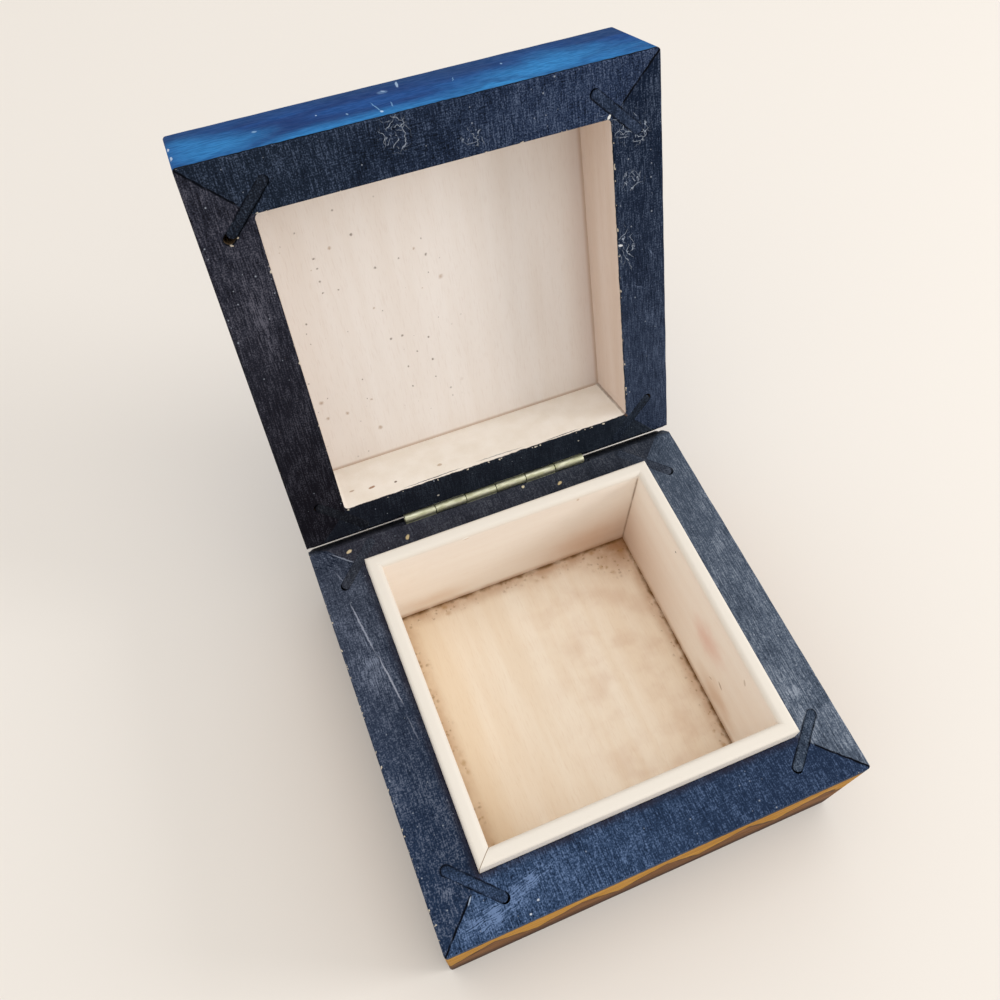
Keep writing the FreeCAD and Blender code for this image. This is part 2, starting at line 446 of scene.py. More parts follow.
def dust_and_shade_patches(tree, place, look, near, shade):
    """Lays a shade in soft patches where near is 1, for dust rubbed into the wood and for painted shade.
    """
    patchy = node(tree, "soft_step", field(tree, place, (3.5, 3.5, 3.5), 4.4, 4.0), 0.0, 0.7)
    return coat(tree, look, plain(shade), node(tree, "MULTIPLY", near, patchy))


def rubbed_navy(tree, place, finish, share):
    """Thin navy acrylic rubbed down front to back: pale fibres and grit over dark blue, like worn denim.

    share runs from 0 to 1 between the ends of the piece. The grain of the paint is finer than a tenth of a
    millimetre and is drawn three times as coarse, so that it shows.
    """
    add = partial(node, tree)
    tone = -sum(finish.weave) / 2
    for weight, (size, seed, detail) in zip(finish.weave, navy_layers):
        layer = field(tree, place, size, seed, detail)
        tone = add("MULTIPLY_ADD", layer, weight, tone)
    coarse = add("ShaderNodeMapRange", share, 0.0, 1.0, *finish.grain)
    tone = add("MULTIPLY_ADD", tone, coarse, 0.5)
    loose = shaken(tree, place, 2.5, 0.4)
    for centre, size, turn, strength in finish.scuffs:
        rubbing = scuff(tree, loose, centre, size, turn)
        tone = add("MULTIPLY_ADD", rubbing, strength, tone)
    dark, first, second, rubbed = (linear(shade) for shade in finish.shades)
    full = add("blend", share, first, second)
    covered = add("ShaderNodeMapRange", tone, 0.2, 0.5)
    thinned = add("ShaderNodeMapRange", tone, 0.5, 0.85)
    colour = add("blend", covered, dark, full)
    colour = add("blend", thinned, colour, rubbed)
    roughness = add("ShaderNodeMapRange", tone, 0.3, 0.7, 0.5, 0.64)
    return SimpleNamespace(colour=colour, roughness=roughness, height=tone)


def lint(tree, place, spot):
    """Loose pale hairs inside a spot: broken lines that wander across it in several directions."""
    add = partial(node, tree)
    cover = 0.0
    for turn, gap, seed in ((0.4, 0.8, 1.9), (1.5, 0.6, 8.3), (2.5, 1.0, 5.2)):
        laid = add("ShaderNodeMapping", place, (0, 0, 0), (0, 0, turn))
        wander = field(tree, laid, [2.6] * 3, seed, 2.0)
        across = add("ShaderNodeSeparateXYZ", laid)
        strand = add("MULTIPLY_ADD", wander, 5.0, across)
        strand = add("soft_step", add("PINGPONG", strand, gap), 0.1, 0.02)
        stretch = add("soft_step", field(tree, place, [3.0] * 3, seed + 1.0, 2.0), 0.48, 0.58)
        cover = add("MAXIMUM", cover, add("MULTIPLY", strand, stretch))
    return add("MULTIPLY", cover, add("soft_step", spot, 0.02, 0.5))


def ochre_sides(tree, spots):
    """Ochre acrylic brushed along the sides, over a brown foot band with a hand-painted zigzag edge."""
    add = partial(node, tree)
    run = add("ShaderNodeCombineXYZ", spots.along, spots.z)
    broad = add("soft_step", field(tree, run, (30.0, 2.4, 1.0), 7.7, 2.0), 0.3, 0.7)
    fine = add("soft_step", field(tree, run, (9.0, 0.5, 1.0), 8.9), 0.4, 0.72)
    faint = add("MULTIPLY", fine, 0.5)
    ochre = add("blend", broad, linear("#ab7722"), linear("#c39035"))
    ochre = add("blend", faint, ochre, linear("#7f531c"))
    brown = add("blend", broad, linear("#6e4422"), linear("#86592c"))
    # The brown darkens towards the bottom edge, partly as painted shade where the base stands on the floor
    low = add("soft_step", spots.z, 13.0, 2.0)
    brown = add("blend", low, brown, linear("#3d2013"))
    brown = add("blend", faint, brown, linear("#33200f"))
    wave = add("ADD", spots.along, zigzag_phase)
    wave = add("PINGPONG", wave, zigzag_pitch)
    shake = field(tree, run, (5.0, 5.0, 1.0), 2.2, 2.0)
    edge = add("MULTIPLY_ADD", wave, zigzag_rise / zigzag_pitch, zigzag_foot)
    edge = add("MULTIPLY_ADD", shake, zigzag_shake, edge)
    above = add("SUBTRACT", spots.z, edge)
    colour = add("blend", add("soft_step", above, 0.3, -0.3), ochre, brown)
    line = add("soft_step", add("ABSOLUTE", above), 1.6, 0.4)
    colour = add("blend", add("MULTIPLY", line, 0.8), colour, linear("#381f0e"))
    height = add("MULTIPLY_ADD", fine, 0.8, broad)
    roughness = add("ShaderNodeMapRange", fine, 0.0, 1.0, 0.5, 0.64)
    return SimpleNamespace(colour=colour, roughness=roughness, height=height)


def blue_sides(tree, place, spots, along):
    """Blue acrylic brushed on in patches: azure by the contact face and in the glows, dusky at the top."""
    add = partial(node, tree)
    depth = (lid.far - lid.contact) / MM
    on_top = add("ShaderNodeMapRange", spots.far, 0.4, 0.2)
    on_side = add("ShaderNodeMapRange", spots.far, 0.2, 0.4)
    around = add("ShaderNodeCombineXYZ", along, spots.z)
    run = add("ShaderNodeMix", on_top, around, place, data_type="VECTOR")
    broad = add("soft_step", field(tree, run, (24.0, 7.0, 1.0), 7.7, 5.0), 0.34, 0.66)
    fine = add("soft_step", field(tree, run, (2.5, 0.7, 1.0), 8.9, 3.0), 0.36, 0.68)
    drift = field(tree, run, (30.0, 9.0, 1.0), 3.3, 4.0)
    level = add("MULTIPLY_ADD", drift, depth, spots.deep)
    level = add("MULTIPLY_ADD", on_top, -0.45 * depth, level)
    azure = add("MULTIPLY", add("soft_step", level, 0.9 * depth, 0.4 * depth), 0.8)
    dusk = add("MULTIPLY", add("soft_step", level, 1.0 * depth, 1.5 * depth), 0.8)
    cloudy = shaken(tree, shaken(tree, run, 16.0, 8.0), 4.0, 1.6)
    for centre, size, strength in blue_glows:
        glow = add("MULTIPLY", add("MULTIPLY", patch(tree, cloudy, centre, size), strength), on_side)
        azure = add("MAXIMUM", azure, glow)
    colour = add("blend", broad, linear("#0b3069"), linear("#134a8c"))
    colour = add("blend", dusk, colour, linear("#1b3f6d"))
    colour = add("blend", azure, colour, linear("#2e86c8"))
    colour = add("blend", add("MULTIPLY", fine, 0.35), colour, linear("#0c2a57"))
    height = add("MULTIPLY_ADD", fine, 0.8, broad)
    roughness = add("ShaderNodeMapRange", fine, 0.0, 1.0, 0.5, 0.64)
    return SimpleNamespace(colour=colour, roughness=roughness, height=height)


def rail_finish(shades, weave, grain=(1.0, 1.0), linden=lid_linden, worn=0.62, scuffs=(), marks=(),
                hairs=()):
    """What sets one rail apart.

    shades are its darkest navy, its navy at the front or left end and at the back or right end, and where
    it is rubbed thin; weave weighs the layers and grain says how strongly they show at those two ends;
    linden is the bare wood inside the lid; worn is lower where its arrises are more worn. A scuff has a
    centre, a size, a turn and a strength; a mark has a face and a shade before these; hairs are ovals of
    lint.
    """
    return SimpleNamespace(shades=shades, weave=weave, grain=grain, linden=linden, worn=worn,
                           scuffs=scuffs, marks=marks, hairs=hairs)


# Each rail's navy shades follow how light or dark the rail looks along its length, so besides rubbing they
# hold painted light and shade: painted sheen makes the front of the base bluer and its right rail greyer,
# and painted shade makes the lid darker. Scuffs of negative strength darken the navy instead of rubbing it
# pale.
rail_finishes = {
    "base_front_rail": rail_finish(
        ("#0f1b2e", "#304462", "#202e46", "#667ca0"), (0.6, 0.2, 0.8, 0.3), grain=(1.15, 0.6),
        scuffs=(((-38.5, -46.2), (20.0, 7.0), 8.0, 0.9), ((-29.0, -43.0), (18.0, 5.0), 14.0, 0.7),
                ((10.0, -44.5), (44.0, 16.0), 0.0, -0.12)),
        marks=(("contact", "#a9b8cc", (-41.5, -41.9), (2.8, 0.5), 52.0, 0.9),
               ("contact", "#c3ccd8", (-31.0, -48.9), (0.8, 0.6), 0.0, 0.9),
               ("contact", "#c3ccd8", (-28.5, -47.0), (0.9, 0.6), 20.0, 0.8)),
    ),
    # Greyer than the other rails of the base, partly as painted sheen
    "base_right_rail": rail_finish(
        ("#28303d", "#505b6b", "#475160", "#8d96a3"), (0.7, 0.1, 0.6, 0.45), grain=(1.1, 0.75),
        scuffs=(((43.0, -30.0), (26.0, 8.0), 85.0, 0.3), ((44.0, 45.0), (22.0, 20.0), 45.0, -0.3)),
    ),
    "base_back_rail": rail_finish(
        ("#14171e", "#33343e", "#2d323c", "#5d6068"), (0.35, 0.2, 0.55, 0.4),
        marks=(("contact", "#cdbb98", (-40.5, 43.3), (2.0, 1.3), 15.0, 1.0),
               ("contact", "#c8b489", (-25.7, 41.8), (2.2, 1.2), 60.0, 1.0),
               ("contact", "#d3c7a8", (6.7, 44.5), (1.2, 1.1), 0.0, 1.0),
               ("contact", "#c8b489", (16.0, 42.0), (2.0, 1.3), 30.0, 1.0)),
    ),
    "base_left_rail": rail_finish(
        ("#101827", "#1f2f48", "#3d4453", "#767f92"), (0.4, 0.2, 0.62, 0.35), worn=0.54,
        scuffs=(((-46.0, -40.0), (18.0, 6.0), 70.0, 0.2), ((-44.0, 45.0), (20.0, 20.0), -45.0, -0.4),
                ((-44.5, 13.0), (34.0, 11.0), 88.0, 0.35)),
        marks=(("contact", "#9ba1b1", (-43.6, 23.0), (20.0, 0.6), -83.0, 0.8),
               ("contact", "#a3a9b8", (-41.5, 8.5), (19.0, 0.55), -83.0, 0.8),
               ("contact", "#8d94a5", (-40.5, -4.0), (10.0, 0.45), -84.0, 0.4),
               ("contact", "#8f96a5", (-42.4, 42.0), (9.0, 0.55), -42.0, 0.7),
               ("contact", "#7d8494", (-44.5, 37.0), (6.0, 0.45), -70.0, 0.6)),
    ),
    "lid_front_rail": rail_finish(
        ("#080d16", "#1a2331", "#23304a", "#56637b"), (0.55, 0.2, 0.8, 0.3), grain=(0.8, 1.2),
        scuffs=(((-6.0, -44.0), (52.0, 18.0), 0.0, -0.25),),
        marks=(("side", "#7d9fc6", (-5.5, 49.6), (3.4, 3.0), 0.0, 0.4),
               ("side", "#a5bedb", (-5.2, 50.2), (1.0, 1.8), 20.0, 0.6),
               ("side", "#a5bedb", (-1.6, 52.4), (6.0, 0.9), 80.0, 0.75),
               ("side", "#86b4dc", (-9.1, 41.0), (11.0, 0.35), 94.0, 0.6),
               ("side", "#86b4dc", (-6.0, 40.6), (5.0, 0.35), 82.0, 0.55),
               ("side", "#b9d2ea", (-8.9, 37.7), (1.0, 1.6), 0.0, 0.8),
               ("side", "#9cc0e2", (-33.0, 44.5), (1.4, 1.8), 0.0, 0.5),
               ("side", "#b9d2ea", (-20.4, 45.2), (0.6, 1.0), 0.0, 0.8),
               ("side", "#9cc0e2", (-15.0, 41.2), (0.6, 1.6), 0.0, 0.6),
               ("side", "#86b4dc", (8.9, 46.8), (4.0, 0.35), 70.0, 0.5),
               ("side", "#9cc0e2", (20.5, 49.2), (0.6, 1.4), 0.0, 0.6),
               ("side", "#c7d5e8", (-49.6, 46.5), (0.7, 2.6), 0.0, 0.8),
               ("side", "#c7d5e8", (-49.5, 40.8), (0.6, 3.4), 0.0, 0.7),
               ("contact", "#e3e3e0", (37.6, -38.8), (2.0, 0.8), -55.0, 0.9)),
        hairs=(((-8.0, -46.5), (11.0, 9.0), 80.0), ((38.0, -39.0), (10.0, 7.0), 40.0),
               ((8.0, -42.0), (9.0, 5.0), 20.0)),
    ),
    "lid_right_rail": rail_finish(
        ("#091120", "#152033", "#2f394d", "#58647a"), (0.6, 0.15, 0.65, 0.35), linden=shaded_lip_linden,
        scuffs=(((46.0, -6.0), (7.0, 1.2), 60.0, 0.5), ((42.5, 2.0), (5.0, 1.0), 30.0, 0.4),
                ((48.5, 7.0), (6.0, 1.0), 75.0, 0.3), ((44.0, 46.0), (14.0, 18.0), 45.0, -0.25),
                ((44.0, 0.0), (40.0, 18.0), 90.0, -0.15)),
        marks=(("contact", "#d8dade", (38.8, -9.5), (1.8, 0.9), 10.0, 0.9),
               ("contact", "#d8dade", (40.6, -37.6), (1.6, 0.8), 40.0, 0.8)),
        hairs=(((42.0, -36.0), (16.0, 10.0), 40.0), ((40.2, -8.5), (15.0, 6.0), 85.0),
               ((42.0, -24.0), (9.0, 6.0), 0.0)),
    ),
    "lid_back_rail": rail_finish(
        ("#0c1017", "#171a22", "#1a2029", "#3c444f"), (0.3, 0.15, 0.45, 0.3), linden=lit_lip_linden,
        scuffs=(((45.0, 44.0), (16.0, 14.0), 45.0, 0.3),),
        marks=(("contact", "#b9b6ac", (-15.0, 43.0), (0.9, 0.7), 0.0, 0.8),
               ("contact", "#b9b6ac", (24.0, 41.0), (0.7, 0.6), 0.0, 0.8),
               ("lip", "#a98c72", (-35.0, 40.9), (2.0, 0.9), 10.0, 0.7),
               ("lip", "#9a7456", (-30.0, 39.8), (2.6, 1.3), 10.0, 0.9),
               ("lip", "#5d4634", (-24.0, 38.8), (1.2, 1.0), 0.0, 0.9),
               ("lip", "#b59a80", (-12.0, 39.7), (1.8, 1.3), 0.0, 0.7),
               ("lip", "#343a47", (-15.0, 35.5), (22.0, 0.5), 1.0, 0.8),
               ("lip", "#4a505c", (3.0, 35.9), (18.0, 0.4), -1.5, 0.7),
               ("lip", "#343a47", (20.0, 35.3), (14.0, 0.5), 1.0, 0.8)),
    ),
    "lid_left_rail": rail_finish(
        ("#0c0b11", "#282a35", "#131218", "#575762"), (0.6, 0.15, 0.65, 0.35), grain=(1.25, 0.5),
        scuffs=(((-43.5, -17.0), (34.0, 6.0), 88.0, 0.4),),
        marks=(("contact", "#cabfae", (-44.0, -33.4), (1.0, 0.5), 30.0, 0.9),
               ("contact", "#b9ad98", (-42.5, -34.6), (0.7, 0.5), 0.0, 0.9)),
    ),
}


def bare_rail(tree, place, spots, shell, linden):
    """Wood of a rail before it is painted, dusty inside the slots and the hinge kerf."""
    add = partial(node, tree)
    look = bare_linden(tree, place, "Y", linden if shell is lid else under_linden)
    if shell is base:
        look = dust_and_shade_patches(tree, place, look, 0.35, under_soil)
    middle = shell.width / MM / 2
    within = add("ABSOLUTE", add("ADD", spots.outside, -middle))
    dusty = add("ShaderNodeMapRange", within, middle - 0.6, middle - 0.8)
    dusty = add("MULTIPLY", dusty, add("soft_step", spots.far, 0.3, 0.6))
    return coat(tree, look, plain("#6a5842"), dusty)


def brushed_skin(tree, place, spots, shell, along, look):
    """Lays ochre on the sides of the base, or blue on the sides and the top of the lid."""
    skin = spots.outside
    if shell is lid:
        skin = node(tree, "MINIMUM", spots.outside, spots.far)
    brushed = ochre_sides(tree, spots) if shell is base else blue_sides(tree, place, spots, along)
    return coat(tree, look, brushed, node(tree, "ShaderNodeMapRange", skin, 0.9, 0.7))


def navy_face(tree, place, spots, loose, shell, along, finish, look):
    """Lays navy over the contact face, lapping raggedly over the arris to a dark line."""
    add = partial(node, tree)
    lap, spread = base_lap if shell is base else lid_lap
    ragged = field(tree, place, [1.6] * 3, 7.1, 3.0)
    below = add("MULTIPLY_ADD", ragged, spread, loose.under_chamfer)
    below = add("ADD", below, -lap - spread / 2)
    share = add("soft_step", along, -42.0, 42.0)
    look = coat(tree, look, rubbed_navy(tree, place, finish, share), add("soft_step", below, 0.08, -0.08))
    line = add("soft_step", add("ABSOLUTE", below), 0.35, 0.12)
    line = add("MULTIPLY", line, add("soft_step", spots.outside, 1.2, 0.8))
    return coat(tree, look, plain("#0d1017"), line)


def dirty_joints(tree, place, spots, loose, shell, look):
    """Lays paint pooled round the slots, painted shade along the liner's foot and dirt in the mitres."""
    add = partial(node, tree)
    width = shell.width / MM
    pooled = add("soft_step", spots.slot, 0.32, 0.0)
    pooled = add("MULTIPLY", pooled, add("soft_step", spots.y, 30.0, -50.0))
    pooled = add("MULTIPLY", pooled, add("soft_step", field(tree, place, [3.0] * 3, 3.7), 0.42, 0.6))
    pooled = add("MULTIPLY", pooled, add("soft_step", spots.deep, 0.6, 0.4))
    look = coat(tree, look, plain(joint_dirt), pooled)
    # On the base, a dark smear of painted shade along the liner's foot
    if shell is base:
        foot = add("MULTIPLY", add("soft_step", spots.outside, width - 2.2, width - 0.2), 0.85)
        look = dust_and_shade_patches(tree, place, look, foot, "#2a2732")
    # Mitres, open towards the front corners and filled with paint at the back
    seam = add("soft_step", loose.mitre, 0.5, 0.15)
    seam = add("MULTIPLY", seam, add("soft_step", spots.y, 10.0, -30.0))
    seam = add("MULTIPLY", seam, add("soft_step", spots.outside, mitre_seen / MM, mitre_seen / MM - 0.6))
    seam = add("MULTIPLY", seam, add("soft_step", field(tree, place, [2.5] * 3, 2.3), 0.2, 0.5))
    seam = add("MULTIPLY", seam, add("soft_step", spots.deep, 1.2, 0.6))
    look = coat(tree, look, plain(joint_dirt), seam)
    # The joint inside the lid at the back right
    if shell is lid:
        joint = add("soft_step", loose.mitre, 0.7, 0.3)
        joint = add("MULTIPLY", joint, add("soft_step", spots.along, 68.0, 74.0))
        joint = add("MULTIPLY", joint, add("soft_step", spots.outside, width - 0.4, width))
        look = dust_and_shade_patches(tree, place, look, add("MULTIPLY", joint, 0.7), "#6b5444")
    return look


def worn_arrises(tree, place, arrises, look):
    """Wears arrises down to primer and wood in short thin chips.

    Each arris has its distances from two faces and the level of the chips' pattern at which they start.
    """
    add = partial(node, tree)
    chips = field(tree, place, (1.2, 1.2, 1.2), 5.5, 2.0)
    for across, down, start in arrises:
        section = add("ShaderNodeCombineXYZ", across, down)
        section = add("ShaderNodeVectorMath", section, output="Value", operation="LENGTH")
        worn = add("MULTIPLY_ADD", section, -0.35, chips)
        look = coat(tree, look, plain("#bdb5a6"), add("soft_step", worn, start, start + 0.04))
    return look


def littered(tree, place, spots, inner, finish, look):
    """Lays dust, chips, crumbs, flakes and hairs on a rail."""
    add = partial(node, tree)
    on_face = add("soft_step", spots.deep, 0.6, 0.3)
    dust = add("MULTIPLY", specks(tree, place, 2.6, 0.3, 0.16, 2.0), on_face)
    look = coat(tree, look, plain("#aab3c0", 0.9), add("MULTIPLY", dust, 0.7))
    rough = shaken(tree, place, 0.9, 0.25)
    upright = add("ShaderNodeMapping", rough, (0, 0, 0), (-math.pi / 2, 0, 0))
    faces = {
        "contact": (rough, on_face),
        "side": (upright, add("soft_step", spots.outside, 0.6, 0.3)),
        "lip": (upright, add("soft_step", inner, 0.6, 0.3)),
    }
    look = marked(tree, look, faces, finish.marks)
    for centre, size, turn in finish.hairs:
        hair = lint(tree, place, patch(tree, place, centre, size, turn))
        hair = add("MULTIPLY", add("MULTIPLY", hair, 0.75), on_face)
        look = coat(tree, look, plain("#a5afbd", 0.9), hair)
    return look


def painted_rail(name, shell, side):
    """Linden rail in two paints: its side brushed in one, then the contact face and its arris in navy."""
    finish = rail_finishes[name]
    material, tree, shader = new_finish(f"acrylic_paint_on_linden_{name}")
    place = shut_place(tree, shell.shut)
    spots = survey(tree, place, shell)
    loose = survey(tree, shaken(tree, place, 2.0, 0.3), shell)
    along = spots.y if side in ("left", "right") else spots.x
    inner = node(tree, "SUBTRACT", shell.width / MM, spots.outside)
    arrises = [(spots.outside, down, finish.worn) for down in (spots.deep, spots.beside, spots.far)]
    if shell is lid:
        arrises.append((inner, spots.deep, opening_worn))
    look = bare_rail(tree, place, spots, shell, finish.linden)
    look = brushed_skin(tree, place, spots, shell, along, look)
    look = navy_face(tree, place, spots, loose, shell, along, finish, look)
    look = dirty_joints(tree, place, spots, loose, shell, look)
    look = worn_arrises(tree, place, arrises, look)
    look = littered(tree, place, spots, inner, finish, look)
    finish_shader(tree, shader, look, paint_relief, paint_shine)
    return material


def painted_key(name, shell):
    """Hardwood tongue glued across a mitre and painted navy with the frame, dark at its rim."""
    dark, full, rubbed = key_shades[name]
    finish = rail_finish((dark, full, full, rubbed), key_weave)
    material, tree, shader = new_finish(f"acrylic_paint_on_{name}")
    add = partial(node, tree)
    place = shut_place(tree, shell.shut)
    spots = survey(tree, place, shell)
    look = rubbed_navy(tree, place, finish, 0.0)
    rim = add("soft_step", spots.slot, -0.5, -0.05)
    rim = add("MULTIPLY", rim, add("soft_step", spots.y, 30.0, -60.0))
    rim = add("MULTIPLY", rim, add("soft_step", field(tree, place, [3.0] * 3, 3.7), 0.3, 0.7))
    look = coat(tree, look, plain(joint_dirt), rim)
    look = coat(tree, look, plain("#0a0c11"), add("soft_step", spots.deep, 0.38, 0.6))
    finish_shader(tree, shader, look, paint_relief, key_shine)
    return material


def painted_panel(name):
    """Linden panel of the lid: bare and specked inside, with painted shadow of the right lip along its
    right edge, blue outside.
    """
    material, tree, shader = new_finish(name)
    add = partial(node, tree)
    place = shut_place(tree, lid.shut)
    spots = survey(tree, place, lid)
    look = bare_linden(tree, place, "Y", lid_linden)
    # Painted shadow of the right lip, browning the panel towards its right edge
    look = coat(tree, look, plain("#b3958a"), add("MULTIPLY", add("soft_step", spots.x, 31.0, 39.0), 0.3))
    low_left = add("soft_step", patch(tree, place, (-20.0, 4.0), (62.0, 96.0)), 0.05, 0.3)
    loose = shaken(tree, place, 0.8, 0.3)
    for spacing, radius, seed, shade in ((3.1, 0.5, 3.0, "#5f4c3d"), (6.0, 0.9, 8.0, "#b39c88")):
        dots = add("MULTIPLY", specks(tree, loose, spacing, radius, 0.25, seed), low_left)
        look = coat(tree, look, plain(shade, 0.85), add("MULTIPLY", dots, 0.85))
    look = coat(tree, look, plain("#c3ae9d"), add("soft_step", spots.outside, 13.0, 11.9))
    brushed = blue_sides(tree, place, spots, spots.x)
    look = coat(tree, look, brushed, add("ShaderNodeMapRange", spots.far, 0.9, 0.7))
    finish_shader(tree, shader, look, paint_relief, paint_shine)
    return material


def lining_wood(name, grain):
    """Bare linden of the liner: whiter, sanded smooth, painted shade on top, at the foot and at the back
    right, dusty at the foot and the back right joint.
    """
    material, tree, shader = new_finish(name)
    add = partial(node, tree)
    place = shut_place(tree, as_drawn)
    spots = survey(tree, place, base)
    look = bare_linden(tree, place, grain, liner_linden)
    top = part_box("liner_front")[1].z / MM
    # Painted shade: the top greyer than the walls
    painted_top_shade = add("MULTIPLY", add("soft_step", spots.z, top - 2.0, top - 0.4), 0.8)
    look = coat(tree, look, plain("#ddd7cc"), painted_top_shade)
    # Painted shade, browning the walls towards the back right corner
    below = add("soft_step", spots.z, top - 4.0, top - 30.0)
    corner = add("MULTIPLY", add("MULTIPLY", add("soft_step", spots.along, 24.0, 69.0), below), 0.5)
    look = coat(tree, look, plain("#b98f6e"), corner)
    # Dust along the foot of the walls, with painted shade in the crease at the floor
    foot = add("MULTIPLY", add("soft_step", spots.z, 7.0, 4.2), 0.7)
    look = dust_and_shade_patches(tree, place, look, foot, "#bf9870")
    # Joints: a brown line at the front left, dust down the corner at the back right
    joint = add("soft_step", spots.mitre, 0.16, 0.05)
    joint = add("MULTIPLY", joint, add("soft_step", spots.along, -30.0, -60.0))
    look = coat(tree, look, plain("#8c7862"), joint)
    dusty = add("soft_step", spots.along, 68.2, 68.8)
    dusty = add("MULTIPLY", dusty, add("soft_step", spots.z, top - 1.0, top - 3.0))
    look = dust_and_shade_patches(tree, place, look, add("MULTIPLY", dusty, 0.7), "#86674c")
    across, inner = (spots.x, spots.y) if grain == "X" else (spots.y, spots.x)
    wall = add("ShaderNodeCombineXYZ", across, spots.z)
    facing = add("soft_step", inner, 33.0, 34.0)
    cloudy = shaken(tree, wall, 5.0, 2.5)
    for shade, centre, size, strength in liner_clouds[grain]:
        cloud = add("MULTIPLY", patch(tree, cloudy, centre, size), strength)
        look = coat(tree, look, plain(shade), add("MULTIPLY", cloud, facing))
    look = marked(tree, look, {"wall": (wall, facing)}, liner_marks[grain])
    finish_shader(tree, shader, look, wood_relief, wood_shine)
    return material


def floor_wood(name):
    """Bare linden of the floor, with brown dust along its edges, most of it in the back right corner,
    where painted shade browns it further.
    """
    material, tree, shader = new_finish(name)
    add = partial(node, tree)
    place = shut_place(tree, as_drawn)
    spots = survey(tree, place, base)
    look = bare_linden(tree, place, "Y", floor_linden)
    left = add("MULTIPLY", add("soft_step", spots.x, -16.0, -34.4), 0.4)
    look = coat(tree, look, plain("#e8c997"), left)
    # Dried damp on the right half
    damp = add("soft_step", field(tree, place, (9.0, 7.0, 9.0), 6.6, 5.0), 0.4, 0.72)
    damp = add("MULTIPLY", add("MULTIPLY", damp, add("soft_step", spots.x, -12.0, 16.0)), 0.3)
    look = coat(tree, look, plain("#c9a184"), damp)
    # Dust along the edges, and round the back right corner dust with painted shade
    near = patch(tree, shaken(tree, place, 3.0, 1.5), (36.0, 36.0), (44.0, 36.0))
    edges = (
        (spots.y, 29.0, 34.4, 0.75), (spots.x, 30.0, 34.4, 0.7),
        (spots.x, -28.0, -34.4, 0.7), (spots.y, -28.0, -34.4, 0.45),
    )
    for axis, away, edge, strength in edges:
        close = add("MULTIPLY", add("soft_step", axis, away, edge), strength)
        near = add("MAXIMUM", near, close)
    look = dust_and_shade_patches(tree, place, look, near, "#b0835a")
    # More dust and painted shade in the back right corner
    corner_dust_and_shade = patch(tree, shaken(tree, place, 2.5, 1.2), (35.0, 35.5), (26.0, 19.0))
    look = coat(tree, look, plain("#a5774e"), add("MULTIPLY", corner_dust_and_shade, 0.9))
    loose = shaken(tree, place, 0.7, 0.5)
    clusters = add("soft_step", field(tree, place, [9.0] * 3, 5.1), 0.34, 0.55)
    clustered = add("MULTIPLY", add("soft_step", near, 0.02, 0.3), clusters)
    for spacing, radius, seed, shade in ((1.3, 0.7, 1.0, "#8f6a40"), (2.6, 1.5, 4.0, "#b08a56")):
        dots = add("MULTIPLY", specks(tree, loose, spacing, radius, 0.5, seed), clustered)
        look = coat(tree, look, plain(shade, 0.85), add("MULTIPLY", dots, 0.6))
    # Darker line where dust fills the joint along the back and the right
    joint = add("MAXIMUM", spots.x, spots.y)
    ragged = field(tree, place, [1.8] * 3, 8.4, 3.0)
    joint = add("MULTIPLY_ADD", ragged, 1.6, joint)
    look = dust_and_shade_patches(tree, place, look, add("soft_step", joint, 34.0, 35.1), "#73532f")
    # Underside, soiled by tables
    under = bare_linden(tree, place, "Y", under_linden)
    under = dust_and_shade_patches(tree, place, under, 0.35, under_soil)
    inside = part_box("floor_panel")[1].z / MM - 0.5
    look = coat(tree, under, look, add("soft_step", spots.z, inside - 0.3, inside))
    finish_shader(tree, shader, look, wood_relief, wood_shine)
    return material


def hinge_brass(name):
    """Drawn brass gone dull: pale greenish yellow with fine lines along the barrel."""
    material, tree, shader = new_finish(name)
    add = partial(node, tree)
    place = shut_place(tree, as_drawn)
    dull = add("soft_step", field(tree, place, (3.0, 0.8, 0.8), 1.1, 2.0), 0.35, 0.65)
    lines = field(tree, place, (6.0, 0.15, 0.15), 2.1)
    colour = add("blend", dull, linear("#d5d5bd"), linear("#babb9a"))
    roughness = add("ShaderNodeMapRange", dull, 0.0, 1.0, 0.45, 0.58)
    shader.inputs["Metallic"].default_value = 1.0
    look = SimpleNamespace(colour=colour, roughness=roughness, height=lines)
    finish_shader(tree, shader, look, brass_relief, brass_shine)
    return material


# Geometry


def show(name, mesh, body, nodes, material):
    """Adds a finished piece that rides on a body and stands for some solids."""
    data = bpy.data.meshes.new(name)
    mesh.to_mesh(data)
    mesh.free()
    data.shade_smooth()
    data.set_sharp_from_angle(angle=smooth_below)
    data.materials.clear()
    data.materials.append(material)
    piece = bpy.data.objects.new(name, data)
    bpy.context.scene.collection.objects.link(piece)
    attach(piece, body)
    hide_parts(*nodes)
    return piece


def solid_copy(name, shut):
    """Welded copy of a solid's mesh, with the lid shut."""
    mesh = bmesh.new()
    mesh.from_mesh(frame["nodes"][name].data)
    bmesh.ops.transform(mesh, matrix=shut, verts=mesh.verts)
    bmesh.ops.remove_doubles(mesh, verts=mesh.verts, dist=touching / 2)
    return mesh


def slice_through(mesh, direction, distance):
    """Cuts new edges where a plane crosses the mesh."""
    whole = mesh.verts[:] + mesh.edges[:] + mesh.faces[:]
    bmesh.ops.bisect_plane(mesh, geom=whole, dist=touching, plane_co=direction * distance,
                           plane_no=direction)


